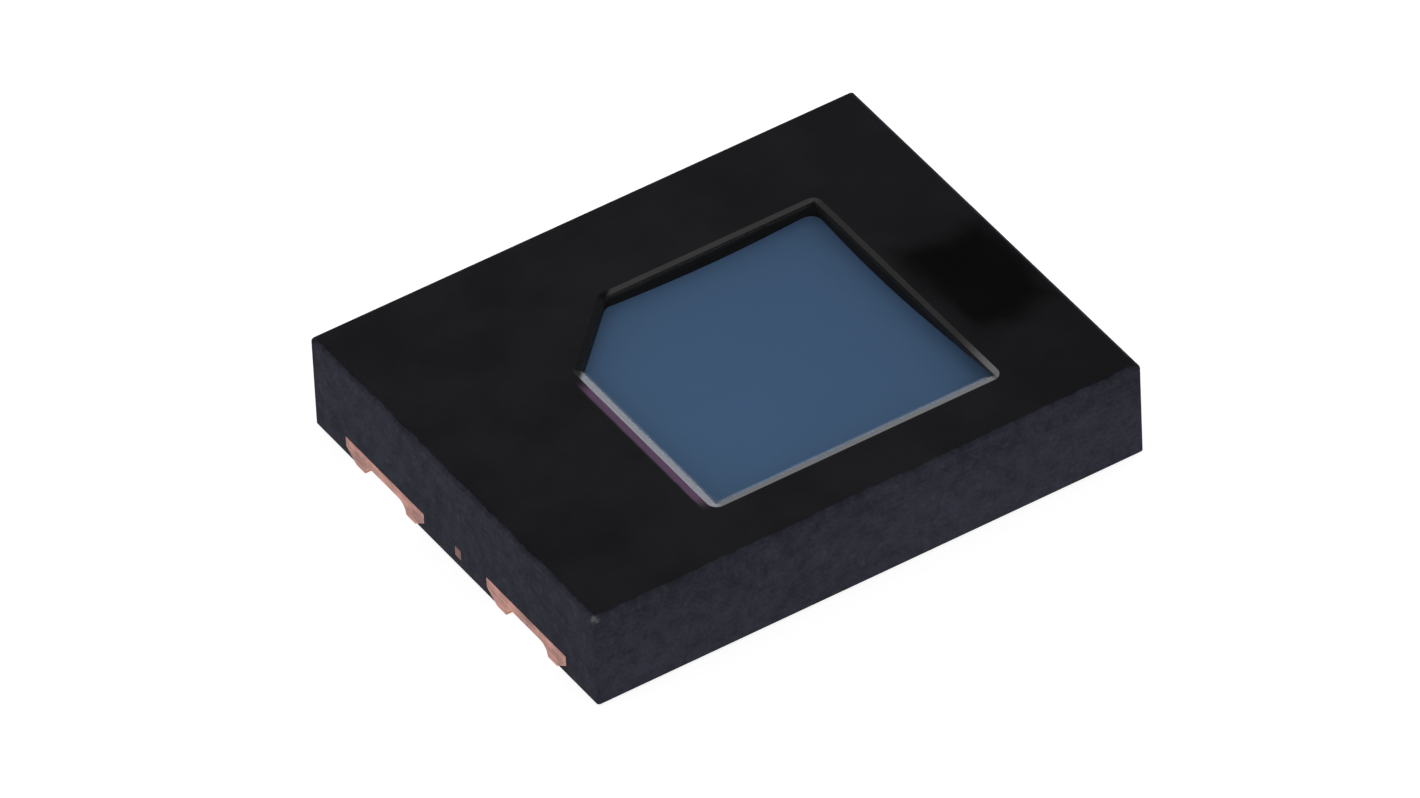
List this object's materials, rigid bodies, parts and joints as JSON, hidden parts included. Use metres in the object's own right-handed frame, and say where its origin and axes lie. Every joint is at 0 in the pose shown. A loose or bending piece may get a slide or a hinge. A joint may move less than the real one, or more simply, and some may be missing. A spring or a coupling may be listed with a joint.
{
  "type": "surface-mount photodiode",
  "caption": "Black moulded top-view photodiode with a clear off-centre window over its blue silicon die and etched copper solder terminals at both ends.",
  "frame": {"origin": "middle of the footprint, on the board that the solder faces rest on", "axes": "+X along the package from the anode end to the cathode end, +Y across it towards the window's cut corner, +Z away from the board, out of the window"},
  "size_m": [0.005, 0.004, 0.0009],
  "materials": {
    "black_epoxy": "black moulding compound, satin on top, sawn sides with fine filler grain",
    "clear_resin": "water-clear cast resin, glossy, with a small meniscus at the rim",
    "coated_silicon": "polished silicon with a blue anti-reflection coating",
    "silver_adhesive": "cured silver-filled adhesive, matt",
    "etched_copper": "etched copper with sawn ends and tin-plated solder faces",
    "gold_wire": "drawn gold bonding wire"
  },
  "bodies": {
    "root": {"mould_body": "black_epoxy", "window_fill": "clear_resin", "photodiode_chip": "coated_silicon", "die_attach": "silver_adhesive", "cathode_frame": "etched_copper", "anode_terminal": "etched_copper", "spare_terminal": "etched_copper", "bond_wire": "gold_wire"}
  },
  "joints": []
}
